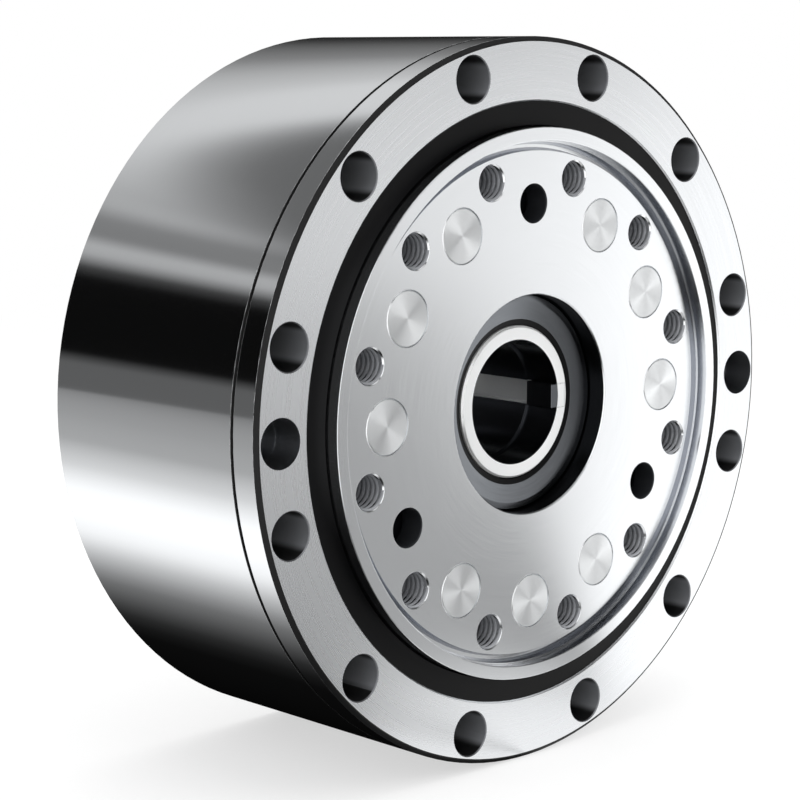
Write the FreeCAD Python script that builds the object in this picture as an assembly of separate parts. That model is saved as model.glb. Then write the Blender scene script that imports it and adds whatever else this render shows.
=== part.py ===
import FreeCAD, Part
import math
import os

from FreeCAD import Vector

# A cycloidal reducer for a robot joint, in millimetres.
# Its axis lies along Y. The output face looks towards -Y and the motor side towards +Y.
# The origin is the centre of the front face of the case, with +X to the right and +Z up.
# Angles round the axis are seen from the front: 0 is +X and 90 is +Z.
# The inside is symmetrical about a plane half way along the case, so each rear piece
# is the mirror image of its front piece, unless its own function says otherwise.

# Cycloid gearing
ring_pin_count = 30
ring_pin_r = 2.5
ring_pin_end_gap = 0.1
eccentricity = 1.2
lobe_clearance = 0.06
disc_thickness = 12.0
disc_gap = 1.0
disc_side_gap = 0.5
disc_web = 5.5
disc_rim_wall = 2.8
arcs_per_lobe = 8

# Input shaft
shaft_bore_r = 12.0
front_bore_step = 0.5
front_bore_depth = 8.0
shaft_wall = 3.4
shaft_end_inset = 0.2
shaft_end_chamfer = 0.4
keyway_width = 5.0
keyway_floor_wall = 0.7
key_height = 4.0
key_length = 7.0
key_chamfer = 0.15
collar_height = 2.0
collar_cam_gap = 0.3
cam_wall = 1.4

# Eccentric bearings, one in each disc
eccentric_roller_space = 5.0
eccentric_race_wall = 3.0
eccentric_roller_count = 12
eccentric_cage_gap = 0.7
eccentric_cage_end = 1.0
eccentric_cage_wall = 2.2

# Input bearings, one in each flange
input_bearing_width = 7.0
input_ring_end_wall = 1.0
input_ring_wall = 1.4
input_roller_space = 3.0
input_cup_wall = 1.6
input_ring_end_gap = 0.2
input_seal_inset = 0.1
input_seal_thickness = 0.8
input_seal_clearance = 0.05
input_roller_count = 12
input_cage_gap = 0.1
input_cage_end = 0.7
input_cage_wall = 1.2
hub_margin = 0.6
hub_edge_chamfer = 0.2
flange_shoulder = 2.5

# Shaft seals, one in front of each input bearing: a steel case with a rubber lip
hub_seal_face_y = 4.2
hub_seal_width = 4.0
hub_seal_end_gap = 0.2
hub_seal_sheet = 0.8
hub_seal_corner = 0.4
hub_seal_flat = 1.2
hub_seal_dish = 0.5
hub_seal_rubber = 1.3
hub_lip_clearance = 0.05
hub_lip_relief = 0.45
hub_lip_spacing = 1.4
hub_lip_thickness = 0.6

# Carrier pins, bushes and clamp screws that join the two flanges
carrier_places = 12
screw_places = (3, 7, 11)
carrier_pin_r = 5.5
carrier_pin_chamfer = 0.3
screw_hole_chamfer = 0.2
bush_wall = 1.7
bush_side_gap = 0.25
spacer_wall = 2.2
screw_shank_r = 4.0
screw_hole_clearance = 0.3
screw_length = 45.0
screw_head_r = 6.5
screw_head_height = 8.0
screw_socket_across = 6.0
screw_socket_depth = 4.0
screw_head_chamfer = 0.6
screw_head_clearance = 0.6
screw_head_inset = 0.5
screw_front_hole_step = 0.25
screw_tip_gap = 0.5

# Main bearings between the case and the carrier
cone_wall = 2.0
main_roller_space = 4.4
cup_wall = 2.6
main_bearing_width = 9.2
rib_width = 0.8
cone_rib_height = 0.9
cup_rib_height = 0.8
main_roller_count = 30
main_cage_gap = 0.3
main_cage_end = 0.9
main_cage_wall = 1.6
pin_washer_thickness = 0.8
pin_washer_gap = 0.3
flange_overhang = 1.0

# Shaft seals between the case and the carrier
seal_land_step = 4.0
seal_width = 6.0
seal_side_gap = 0.4
seal_band = 1.2
seal_lip_thickness = 1.4
seal_lip_clearance = 0.05

# Case
bolt_count = 12
bolt_first_angle = 15.0
bolt_hole_r = 4.5
bolt_inner_wall = 2.0
bolt_outer_wall = 1.5
wide_hole_r = 4.75
wide_hole_angles = (0.0, 180.0)
case_edge_chamfer = 0.7
case_joint_chamfer = 0.15
joint_groove_width = 0.6
joint_groove_depth = 0.8
bolt_hole_chamfer = 0.2
case_bore_chamfer = 0.3
groove_wall_gap = 0.3

# Output face
rim_height = 2.5
rim_width = 2.6
rim_edge_chamfer = 0.1
relief_step = 0.3
relief_width = 1.7
relief_depth = 1.8
relief_slope = 0.5
thread_count = 12
thread_first_angle = 15.0
thread_core_r = 3.4
thread_circle_step = 6.0
thread_wall = 1.6
thread_depth = 13.0
thread_edge_chamfer = 0.3
drill_point_angle = 118.0
rear_recess = 1.0

# Running clearances that bearings share
roller_clearance = 0.03
bush_clearance = 0.05
window_clearance = 0.2

# How far a cutting body runs past the face that it cuts
overrun = 1.0

# Radii, worked out from the bore of the input shaft outwards
shaft_r = shaft_bore_r + shaft_wall
front_bore_r = shaft_bore_r + front_bore_step
keyway_floor_r = shaft_r - keyway_floor_wall
collar_r = shaft_r + collar_height
cam_r = shaft_r + eccentricity + cam_wall
input_ring_end_r = shaft_r + input_ring_end_wall
input_cone_track_r = shaft_r + input_ring_wall
input_cup_track_r = input_cone_track_r + input_roller_space
input_bearing_r = input_cup_track_r + input_cup_wall
hub_r = input_bearing_r + hub_margin
hub_rubber_r = shaft_r + hub_seal_rubber
flange_bore_r = input_bearing_r - flange_shoulder
eccentric_race_inner_r = cam_r + eccentric_roller_space
eccentric_race_outer_r = eccentric_race_inner_r + eccentric_race_wall
bush_bore_r = carrier_pin_r + bush_clearance
bush_r = bush_bore_r + bush_wall
disc_hole_r = bush_r + eccentricity + bush_clearance
carrier_circle_r = eccentric_race_outer_r + disc_web + disc_hole_r
ring_pin_circle_r = carrier_circle_r + disc_hole_r + disc_rim_wall + eccentricity + ring_pin_r
screw_hole_r = screw_shank_r + screw_hole_clearance
spacer_r = screw_hole_r + spacer_wall
counterbore_r = screw_head_r + screw_head_clearance
thread_circle_r = carrier_circle_r + thread_circle_step
seat_r = thread_circle_r + thread_core_r + thread_wall
cone_track_r = seat_r + cone_wall
cone_rib_r = cone_track_r + cone_rib_height
cup_track_r = cone_track_r + main_roller_space
cup_rib_r = cup_track_r - cup_rib_height
cup_r = cup_track_r + cup_wall
pin_washer_bore_r = cone_rib_r + pin_washer_gap
seal_land_r = seat_r + seal_land_step
rim_bore_r = seal_land_r - rim_width
relief_outer_r = rim_bore_r - relief_step
relief_inner_r = relief_outer_r - relief_width
bolt_circle_r = cup_r + bolt_inner_wall + bolt_hole_r
case_r = bolt_circle_r + bolt_hole_r + bolt_outer_wall

# Places along the axis, worked out from the stack of pieces
input_bearing_face_y = hub_seal_face_y + hub_seal_width
shaft_end_y = hub_seal_face_y + shaft_end_inset
ring_thickness = seal_width + 2 * seal_side_gap
main_bearing_end_y = ring_thickness + main_bearing_width
pin_zone_y = main_bearing_end_y + pin_washer_thickness
flange_inner_y = main_bearing_end_y + flange_overhang
disc_a_y = flange_inner_y + disc_side_gap
middle_y = disc_a_y + disc_thickness + disc_gap / 2
disc_b_y = middle_y + disc_gap / 2
case_length = 2 * middle_y
pin_zone_length = case_length - 2 * pin_zone_y
rear_face_y = case_length - rear_recess
screw_seat_y = rear_face_y - screw_head_inset - screw_head_height
screw_tip_y = screw_seat_y - screw_length
lobe_count = ring_pin_count - 1

# Lengths of the rollers, worked out from the room in their bearings
input_seal_depth = input_seal_inset + input_seal_thickness
input_ring_end_width = input_seal_depth + input_ring_end_gap
input_roller_length = input_bearing_width - 2 * (input_seal_depth + input_cage_gap + input_cage_end)
main_roller_length = main_bearing_width - 2 * (main_cage_gap + main_cage_end)
eccentric_roller_length = disc_thickness - 2 * (eccentric_cage_gap + eccentric_cage_end)

ORIGIN = Vector(0, 0, 0)
AXIS = Vector(0, 1, 0)


def polar(radius, angle, y=0.0):
    """The point at a radius and an angle in degrees, as seen from the front."""
    turn = math.radians(angle)
    return Vector(radius * math.cos(turn), y, radius * math.sin(turn))


def rod(radius, y, length, centre=ORIGIN):
    """A solid cylinder along the axis, from y, about a centre in the XZ plane."""
    return Part.makeCylinder(radius, length, Vector(centre.x, y, centre.z), AXIS)


def tube(outer_r, inner_r, y, length, centre=ORIGIN):
    """A plain ring along the axis."""
    return rod(outer_r, y, length, centre).cut(rod(inner_r, y - overrun, length + 2 * overrun, centre))


def revolved(outline):
    """The solid that a closed outline of (radius, y) points makes round the axis."""
    points = [Vector(radius, y, 0) for radius, y in outline]
    wire = Part.makePolygon(points + points[:1])
    return Part.Face(wire).revolve(ORIGIN, AXIS, 360)


def turned(shape, angle, centre=ORIGIN):
    """A copy of a shape, turned by an angle as seen from the front."""
    copy = shape.copy()
    copy.rotate(centre, Vector(0, -1, 0), angle)
    return copy


def around(shape, count, first_angle=0.0, centre=ORIGIN):
    """Evenly spaced copies of a shape round the axis."""
    return [turned(shape, first_angle + 360.0 * i / count, centre) for i in range(count)]


def mirrored(shape):
    """The rear twin of a front piece."""
    return shape.mirror(Vector(0, middle_y, 0), AXIS)


def chamfered_rod(radius, y, length, chamfer, centre=ORIGIN):
    """A cylinder along the axis with both of its edges broken."""
    body = rod(radius, y + chamfer, length - 2 * chamfer, centre)
    front = Part.makeCone(radius - chamfer, radius, chamfer, Vector(centre.x, y, centre.z), AXIS)
    rear_y = y + length - chamfer
    rear = Part.makeCone(radius, radius - chamfer, chamfer, Vector(centre.x, rear_y, centre.z), AXIS)
    return body.fuse([front, rear]).removeSplitter()


def broken_hole(radius, chamfer, length, centre):
    """The body that cuts a through hole from y = 0, with both of its edges broken."""
    wide = radius + chamfer
    front = Part.makeCone(wide, radius, chamfer, Vector(centre.x, 0, centre.z), AXIS)
    rear = Part.makeCone(radius, wide, chamfer, Vector(centre.x, length - chamfer, centre.z), AXIS)
    hole = rod(radius, -overrun, length + 2 * overrun, centre)
    return hole.fuse([front, rear])


def case_holes():
    """The through holes of the case: the bolt circle and the two wider, reamed holes on it."""
    centre = polar(bolt_circle_r, 0)
    bolt_hole = broken_hole(bolt_hole_r, bolt_hole_chamfer, case_length, centre)
    wide_hole = rod(wide_hole_r, -overrun, case_length + 2 * overrun, centre)
    holes = around(bolt_hole, bolt_count, bolt_first_angle)
    return holes + [turned(wide_hole, angle) for angle in wide_hole_angles]


def front_ring():
    """The plate that closes the front of the case and holds the output seal."""
    groove_y = ring_thickness - joint_groove_width
    blank = revolved([
        (cup_r + case_bore_chamfer, 0),
        (case_r - case_edge_chamfer, 0),
        (case_r, case_edge_chamfer),
        (case_r, groove_y - case_joint_chamfer),
        (case_r - case_joint_chamfer, groove_y),
        (case_r - joint_groove_depth, groove_y),
        (case_r - joint_groove_depth, ring_thickness),
        (cup_r, ring_thickness),
        (cup_r, case_bore_chamfer),
    ])
    return blank.cut(case_holes())


def pin_housing():
    """The case body, with half-round grooves for the ring pins between two bearing seats."""
    bore_r = ring_pin_circle_r + groove_wall_gap
    rear_zone_y = pin_zone_y + pin_zone_length
    blank = revolved([
        (cup_r, ring_thickness),
        (case_r - case_joint_chamfer, ring_thickness),
        (case_r, ring_thickness + case_joint_chamfer),
        (case_r, case_length - case_edge_chamfer),
        (case_r - case_edge_chamfer, case_length),
        (cup_r + case_bore_chamfer, case_length),
        (cup_r, case_length - case_bore_chamfer),
        (cup_r, rear_zone_y),
        (bore_r, rear_zone_y),
        (bore_r, pin_zone_y),
        (cup_r, pin_zone_y),
    ])
    groove = rod(ring_pin_r, pin_zone_y, pin_zone_length, polar(ring_pin_circle_r, 0))
    return blank.cut(case_holes() + around(groove, ring_pin_count))


def ring_pins():
    """The loose pins that the disc lobes roll over."""
    length = pin_zone_length - 2 * ring_pin_end_gap
    pin = rod(ring_pin_r, pin_zone_y + ring_pin_end_gap, length, polar(ring_pin_circle_r, 0))
    return Part.makeCompound(around(pin, ring_pin_count))


def front_pin_washer():
    """The thin washer between a bearing cup and the housing, which keeps the ring pins in."""
    return tube(cup_r, pin_washer_bore_r, main_bearing_end_y, pin_washer_thickness)


def output_seal():
    """A lip seal pressed into the front ring, with its oil lip and its dust lip on the rim."""
    front_y = seal_side_gap
    rear_y = seal_side_gap + seal_width
    lip_r = seal_land_r + seal_lip_clearance
    root_r = (lip_r + cup_r) / 2
    return revolved([
        (cup_r, front_y),
        (cup_r, rear_y),
        (cup_r - seal_band, rear_y),
        (cup_r - seal_band, front_y + seal_band),
        (root_r, front_y + seal_band),
        (lip_r + seal_lip_thickness, rear_y - seal_band / 2),
        (lip_r + seal_lip_thickness / 2, rear_y - seal_band / 2),
        (lip_r, rear_y - seal_band),
        (lip_r + seal_lip_thickness / 2, front_y + seal_band),
        (lip_r, front_y + seal_band / 2),
        (lip_r + seal_band / 4, front_y),
    ])


def front_bearing_cup():
    """The outer race of a main bearing, with one rib on its inner side."""
    return revolved([
        (cup_track_r, ring_thickness),
        (cup_r, ring_thickness),
        (cup_r, main_bearing_end_y),
        (cup_rib_r, main_bearing_end_y),
        (cup_rib_r, main_bearing_end_y - rib_width),
        (cup_track_r, main_bearing_end_y - rib_width),
    ])


def front_bearing_cone():
    """The inner race of a main bearing, with a rib at each end."""
    return revolved([
        (seat_r, ring_thickness),
        (cone_rib_r, ring_thickness),
        (cone_rib_r, ring_thickness + rib_width),
        (cone_track_r, ring_thickness + rib_width),
        (cone_track_r, main_bearing_end_y - rib_width),
        (cone_rib_r, main_bearing_end_y - rib_width),
        (cone_rib_r, main_bearing_end_y),
        (seat_r, main_bearing_end_y),
    ])


def roller_set(inner_track_r, outer_track_r, length, middle, count, centre=ORIGIN):
    """The rollers of one bearing between two tracks, about the middle of their length."""
    pitch_r = (inner_track_r + outer_track_r) / 2
    roller_r = (outer_track_r - inner_track_r) / 2 - roller_clearance
    place = Vector(centre.x + pitch_r, 0, centre.z)
    roller = rod(roller_r, middle - length / 2, length, place)
    return Part.makeCompound(around(roller, count, 0.0, centre))


def roller_cage(inner_track_r, outer_track_r, wall, end, length, middle, count, centre=ORIGIN):
    """A cage ring with one window for each roller of a bearing, and a solid ring at each end."""
    pitch_r = (inner_track_r + outer_track_r) / 2
    window_width = outer_track_r - inner_track_r + 2 * window_clearance
    window_length = length + 2 * roller_clearance
    width = length + 2 * end
    ring = tube(pitch_r + wall / 2, pitch_r - wall / 2, middle - width / 2, width, centre)
    corner = Vector(
        centre.x + pitch_r - wall,
        middle - window_length / 2,
        centre.z - window_width / 2,
    )
    window = Part.makeBox(2 * wall, window_length, window_width, corner)
    return ring.cut(around(window, count, 0.0, centre))


def front_bearing_rollers():
    """The rollers of the front main bearing."""
    middle = (ring_thickness + main_bearing_end_y) / 2
    return roller_set(cone_track_r, cup_track_r, main_roller_length, middle, main_roller_count)


def front_bearing_cage():
    """The cage of the front main bearing."""
    middle = (ring_thickness + main_bearing_end_y) / 2
    return roller_cage(
        cone_track_r,
        cup_track_r,
        main_cage_wall,
        main_cage_end,
        main_roller_length,
        middle,
        main_roller_count,
    )


def flange_blank(face_y):
    """A carrier flange as turned, from its face to its inner side, with its bearing seats."""
    return revolved([
        (hub_r + hub_edge_chamfer, face_y),
        (seal_land_r, face_y),
        (seal_land_r, ring_thickness),
        (seat_r, ring_thickness),
        (seat_r, flange_inner_y),
        (flange_bore_r, flange_inner_y),
        (flange_bore_r, input_bearing_face_y + input_bearing_width),
        (input_bearing_r, input_bearing_face_y + input_bearing_width),
        (input_bearing_r, input_bearing_face_y),
        (hub_r, input_bearing_face_y),
        (hub_r, face_y + hub_edge_chamfer),
    ])


def carrier_pin_angles():
    """The angles of the places on the carrier circle that hold a pin."""
    step = 360.0 / carrier_places
    return [step * place for place in range(carrier_places) if place not in screw_places]


def screw_angles():
    """The angles of the places on the carrier circle that hold a clamp screw."""
    return [360.0 / carrier_places * place for place in screw_places]


def threaded_hole():
    """A blind tapped hole at its core size, with a drill point and a broken edge."""
    centre = polar(thread_circle_r, 0)
    point_depth = thread_core_r / math.tan(math.radians(drill_point_angle / 2))
    mouth_r = thread_core_r + thread_edge_chamfer
    mouth = Part.makeCone(mouth_r, thread_core_r, thread_edge_chamfer, centre, AXIS)
    point_start = Vector(centre.x, thread_depth, centre.z)
    point = Part.makeCone(thread_core_r, 0, point_depth, point_start, AXIS)
    return rod(thread_core_r, 0, thread_depth, centre).fuse([mouth, point]).removeSplitter()


def output_rim():
    """The raised pilot rim round the output face."""
    top_y = -rim_height
    return revolved([
        (seal_land_r, 0),
        (seal_land_r, top_y + rim_edge_chamfer),
        (seal_land_r - rim_edge_chamfer, top_y),
        (rim_bore_r + rim_edge_chamfer, top_y),
        (rim_bore_r, top_y + rim_edge_chamfer),
        (rim_bore_r, 0),
    ])


def relief_groove():
    """The groove between the output face and the rim, with sloping sides."""
    return revolved([
        (relief_inner_r, 0),
        (relief_outer_r, 0),
        (relief_outer_r - relief_slope, relief_depth),
        (relief_inner_r + relief_slope, relief_depth),
    ])


def output_flange():
    """The front flange of the carrier, which is the output of the reducer."""
    blank = flange_blank(0).fuse(output_rim()).removeSplitter()
    cuts = [relief_groove()]
    cuts += around(threaded_hole(), thread_count, thread_first_angle)
    pin_hole = rod(carrier_pin_r, -overrun, flange_inner_y + 2 * overrun, polar(carrier_circle_r, 0))
    cuts += [turned(pin_hole, angle) for angle in carrier_pin_angles()]
    thread_start_y = screw_tip_y - screw_tip_gap
    centre = polar(carrier_circle_r, 0)
    front_hole_r = screw_shank_r - screw_front_hole_step
    front_hole = rod(front_hole_r, -overrun, thread_start_y + 2 * overrun, centre)
    screw_hole = rod(screw_shank_r, thread_start_y, flange_inner_y - thread_start_y + overrun, centre)
    mouth = Part.makeCone(front_hole_r + screw_hole_chamfer, front_hole_r, screw_hole_chamfer, centre, AXIS)
    for cutter in (front_hole, mouth, screw_hole):
        cuts += [turned(cutter, angle) for angle in screw_angles()]
    return blank.cut(cuts)


def rear_flange():
    """The rear flange of the carrier, with counterbores for the clamp screws."""
    blank = mirrored(flange_blank(rear_recess))
    inner_y = case_length - flange_inner_y
    centre = polar(carrier_circle_r, 0)
    start_y = inner_y - overrun
    length = rear_face_y - inner_y + 2 * overrun
    pin_hole = rod(carrier_pin_r, start_y, length, centre)
    screw_hole = rod(screw_hole_r, start_y, length, centre)
    head_hole = rod(counterbore_r, screw_seat_y, rear_face_y - screw_seat_y + overrun, centre)
    cuts = [turned(pin_hole, angle) for angle in carrier_pin_angles()]
    cuts += [turned(screw_hole, angle) for angle in screw_angles()]
    cuts += [turned(head_hole, angle) for angle in screw_angles()]
    return blank.cut(cuts)


def carrier_pins():
    """The pins pressed into both flanges, which carry the torque of the discs."""
    centre = polar(carrier_circle_r, 0)
    pin = chamfered_rod(carrier_pin_r, 0, rear_face_y, carrier_pin_chamfer, centre)
    return Part.makeCompound([turned(pin, angle) for angle in carrier_pin_angles()])


def pin_bushes():
    """One loose bush on each carrier pin in each disc."""
    centre = polar(carrier_circle_r, 0)
    length = disc_thickness - 2 * bush_side_gap
    bush = tube(bush_r, bush_bore_r, disc_a_y + bush_side_gap, length, centre)
    pair = [bush, mirrored(bush)]
    return Part.makeCompound([turned(one, angle) for one in pair for angle in carrier_pin_angles()])


def clamp_spacers():
    """The tubes that set the distance between the flanges at the clamp screws."""
    length = case_length - 2 * flange_inner_y
    spacer = tube(spacer_r, screw_hole_r, flange_inner_y, length, polar(carrier_circle_r, 0))
    return Part.makeCompound([turned(spacer, angle) for angle in screw_angles()])


def clamp_screws():
    """Socket head screws that pull the two flanges together from the rear."""
    centre = polar(carrier_circle_r, 0)
    shank = rod(screw_shank_r, screw_tip_y, screw_length + screw_head_height / 2, centre)
    straight = screw_head_height - screw_head_chamfer
    head = rod(screw_head_r, screw_seat_y, straight, centre)
    top = Vector(centre.x, screw_seat_y + straight, centre.z)
    edge = Part.makeCone(screw_head_r, screw_head_r - screw_head_chamfer, screw_head_chamfer, top, AXIS)
    sides = 6
    corner_r = screw_socket_across / 2 / math.cos(math.pi / sides)
    floor_y = screw_seat_y + screw_head_height - screw_socket_depth
    corners = [centre + polar(corner_r, 360.0 / sides * i, floor_y) for i in range(sides + 1)]
    socket = Part.Face(Part.makePolygon(corners)).extrude(Vector(0, screw_socket_depth + overrun, 0))
    screw = shank.fuse([head, edge]).removeSplitter().cut(socket)
    return Part.makeCompound([turned(screw, angle) for angle in screw_angles()])


def lobe_point(theta):
    """A point of the disc outline: the curve that stays one pin radius off the pin's path."""
    pins = ring_pin_count
    gap_r = ring_pin_r + lobe_clearance
    lead = ring_pin_circle_r / (eccentricity * pins)
    psi = math.atan2(math.sin((1 - pins) * theta), lead - math.cos((1 - pins) * theta))
    x = ring_pin_circle_r * math.cos(theta) - gap_r * math.cos(theta + psi)
    z = ring_pin_circle_r * math.sin(theta) - gap_r * math.sin(theta + psi)
    x -= eccentricity * math.cos(pins * theta)
    z -= eccentricity * math.sin(pins * theta)
    return Vector(x, 0, z)


def lobe_edges():
    """One lobe of the disc outline, from valley to valley, as arcs through points of it."""
    step = 2 * math.pi / lobe_count / (2 * arcs_per_lobe)
    points = [lobe_point(step * i) for i in range(2 * arcs_per_lobe + 1)]
    spans = zip(points[:-2:2], points[1::2], points[2::2])
    return [Part.Arc(start, middle, end).toShape() for start, middle, end in spans]


def lobe_edges_at(lobe):
    """The edges of one lobe in its place round the disc."""
    return [turned(edge, 360.0 * lobe / lobe_count) for edge in lobe_edges()]


def cycloid_disc_a():
    """The front cycloid disc, pushed off the axis by the eccentricity towards +X."""
    edges = [edge for lobe in range(lobe_count) for edge in lobe_edges_at(lobe)]
    blank = Part.Face(Part.Wire(edges)).extrude(Vector(0, disc_thickness, 0))
    length = disc_thickness + 2 * overrun
    hole = rod(disc_hole_r, -overrun, length, polar(carrier_circle_r, 0))
    bore = rod(eccentric_race_outer_r, -overrun, length)
    disc = blank.cut(around(hole, carrier_places) + [bore])
    disc.translate(Vector(eccentricity, disc_a_y, 0))
    return disc


def half_turn_twin(shape):
    """The twin of a piece of disc A for disc B: half a turn on, and one disc further back."""
    twin = turned(shape, 180)
    twin.translate(Vector(0, disc_b_y - disc_a_y, 0))
    return twin


def cam_centre():
    """The axis of the front cam."""
    return Vector(eccentricity, 0, 0)


def eccentric_race_a():
    """The hardened ring pressed into disc A."""
    return tube(eccentric_race_outer_r, eccentric_race_inner_r, disc_a_y, disc_thickness, cam_centre())


def eccentric_rollers_a():
    """The rollers between the front cam and its race."""
    middle = disc_a_y + disc_thickness / 2
    return roller_set(
        cam_r,
        eccentric_race_inner_r,
        eccentric_roller_length,
        middle,
        eccentric_roller_count,
        cam_centre(),
    )


def eccentric_cage_a():
    """The cage of the front eccentric bearing."""
    middle = disc_a_y + disc_thickness / 2
    return roller_cage(
        cam_r,
        eccentric_race_inner_r,
        eccentric_cage_wall,
        eccentric_cage_end,
        eccentric_roller_length,
        middle,
        eccentric_roller_count,
        cam_centre(),
    )


def input_shaft():
    """The hollow input shaft with its two cams, bearing collars, stepped bore and keyway."""
    shaft = chamfered_rod(shaft_r, shaft_end_y, case_length - 2 * shaft_end_y, shaft_end_chamfer)
    collar_y = input_bearing_face_y + input_bearing_width
    collar = rod(collar_r, collar_y, disc_a_y - collar_cam_gap - collar_y)
    cam = rod(cam_r, disc_a_y, disc_thickness, cam_centre())
    shaft = shaft.fuse([collar, mirrored(collar), cam, half_turn_twin(cam)]).removeSplitter()
    length = case_length + 2 * overrun
    bore = rod(shaft_bore_r, -overrun, length)
    front_bore = rod(front_bore_r, shaft_end_y - overrun, front_bore_depth + overrun)
    corner = Vector(0, -overrun, -keyway_width / 2)
    keyway = Part.makeBox(keyway_floor_r, length, keyway_width, corner)
    return shaft.cut([bore, front_bore, keyway])


def shaft_key():
    """The short key in the front end of the keyway, flush with the end of the shaft."""
    corner = Vector(keyway_floor_r - key_height, shaft_end_y, -keyway_width / 2)
    key = Part.makeBox(key_height, key_length, keyway_width, corner)
    return key.makeChamfer(key_chamfer, key.Edges)


def front_hub_seal_case():
    """The pressed steel case of a shaft seal, with a dished face."""
    face_y = hub_seal_face_y
    end_y = input_bearing_face_y - hub_seal_end_gap
    inner_y = face_y + hub_seal_dish
    flat_r = hub_r - hub_seal_corner - hub_seal_flat
    return revolved([
        (hub_r, end_y),
        (hub_r, face_y + hub_seal_corner),
        (hub_r - hub_seal_corner, face_y),
        (flat_r, face_y),
        (hub_rubber_r, inner_y),
        (hub_rubber_r, inner_y + hub_seal_sheet),
        (flat_r, face_y + hub_seal_sheet),
        (hub_r - hub_seal_sheet, face_y + hub_seal_sheet),
        (hub_r - hub_seal_sheet, end_y),
    ])


def front_hub_seal_lip():
    """The rubber of a shaft seal, with a dust lip in front of its oil lip."""
    root_y = hub_seal_face_y + hub_seal_dish
    lip_r = shaft_r + hub_lip_clearance
    dust_y = root_y + hub_lip_relief
    oil_y = dust_y + hub_lip_spacing
    end_y = oil_y + hub_lip_relief
    return revolved([
        (hub_rubber_r, root_y),
        (lip_r + hub_lip_relief / 2, root_y + hub_lip_relief / 2),
        (lip_r, dust_y),
        (lip_r + hub_lip_relief, (dust_y + oil_y) / 2),
        (lip_r, oil_y),
        (lip_r + hub_lip_relief, end_y),
        (lip_r + hub_lip_relief + hub_lip_thickness, end_y),
        (lip_r + hub_lip_relief + hub_lip_thickness, root_y + hub_seal_sheet),
        (hub_rubber_r, root_y + hub_seal_sheet),
    ])


def front_input_outer_ring():
    """The outer ring of the front input bearing."""
    return tube(input_bearing_r, input_cup_track_r, input_bearing_face_y, input_bearing_width)


def front_input_inner_ring():
    """The inner ring of the front input bearing, stepped down where the seals run."""
    end_y = input_bearing_face_y + input_bearing_width
    return revolved([
        (shaft_r, input_bearing_face_y),
        (input_ring_end_r, input_bearing_face_y),
        (input_ring_end_r, input_bearing_face_y + input_ring_end_width),
        (input_cone_track_r, input_bearing_face_y + input_ring_end_width),
        (input_cone_track_r, end_y - input_ring_end_width),
        (input_ring_end_r, end_y - input_ring_end_width),
        (input_ring_end_r, end_y),
        (shaft_r, end_y),
    ])


def front_input_seals():
    """The two rubber shields of the front input bearing."""
    inner_r = input_ring_end_r + input_seal_clearance
    front_y = input_bearing_face_y + input_seal_inset
    rear_y = input_bearing_face_y + input_bearing_width - input_seal_depth
    shields = [
        tube(input_cup_track_r, inner_r, front_y, input_seal_thickness),
        tube(input_cup_track_r, inner_r, rear_y, input_seal_thickness),
    ]
    return Part.makeCompound(shields)


def front_input_rollers():
    """The rollers of the front input bearing."""
    middle = input_bearing_face_y + input_bearing_width / 2
    return roller_set(
        input_cone_track_r,
        input_cup_track_r,
        input_roller_length,
        middle,
        input_roller_count,
    )


def front_input_cage():
    """The cage of the front input bearing."""
    middle = input_bearing_face_y + input_bearing_width / 2
    return roller_cage(
        input_cone_track_r,
        input_cup_track_r,
        input_cage_wall,
        input_cage_end,
        input_roller_length,
        middle,
        input_roller_count,
    )


single_pieces = {
    "front_ring": front_ring,
    "pin_housing": pin_housing,
    "ring_pins": ring_pins,
    "output_seal": output_seal,
    "output_flange": output_flange,
    "rear_flange": rear_flange,
    "carrier_pins": carrier_pins,
    "pin_bushes": pin_bushes,
    "clamp_spacers": clamp_spacers,
    "clamp_screws": clamp_screws,
    "input_shaft": input_shaft,
    "shaft_key": shaft_key,
}

mirrored_pieces = {
    "pin_washer": front_pin_washer,
    "bearing_cup": front_bearing_cup,
    "bearing_cone": front_bearing_cone,
    "bearing_rollers": front_bearing_rollers,
    "bearing_cage": front_bearing_cage,
    "input_outer_ring": front_input_outer_ring,
    "input_inner_ring": front_input_inner_ring,
    "input_seals": front_input_seals,
    "input_rollers": front_input_rollers,
    "input_cage": front_input_cage,
    "hub_seal_case": front_hub_seal_case,
    "hub_seal_lip": front_hub_seal_lip,
}

disc_pieces = {
    "cycloid_disc": cycloid_disc_a,
    "eccentric_race": eccentric_race_a,
    "eccentric_rollers": eccentric_rollers_a,
    "eccentric_cage": eccentric_cage_a,
}

os.makedirs("parts", exist_ok=True)

for name, make in single_pieces.items():
    make().exportStep("parts/" + name + ".step")

mirrored(output_seal()).exportStep("parts/rear_seal.step")

for name, make in mirrored_pieces.items():
    piece = make()
    piece.exportStep("parts/front_" + name + ".step")
    mirrored(piece).exportStep("parts/rear_" + name + ".step")

for name, make in disc_pieces.items():
    piece = make()
    piece.exportStep("parts/" + name + "_a.step")
    half_turn_twin(piece).exportStep("parts/" + name + "_b.step")
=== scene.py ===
"""Looks of a cycloidal reducer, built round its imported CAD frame.

Everything is in metres, in the frame of the CAD: the reducer's axis lies along Y, its output
face looks towards -Y, +Z is up, and the origin is the centre of the front face of the case.
"""

import logging
import math
from dataclasses import dataclass, field
from enum import Enum

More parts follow.
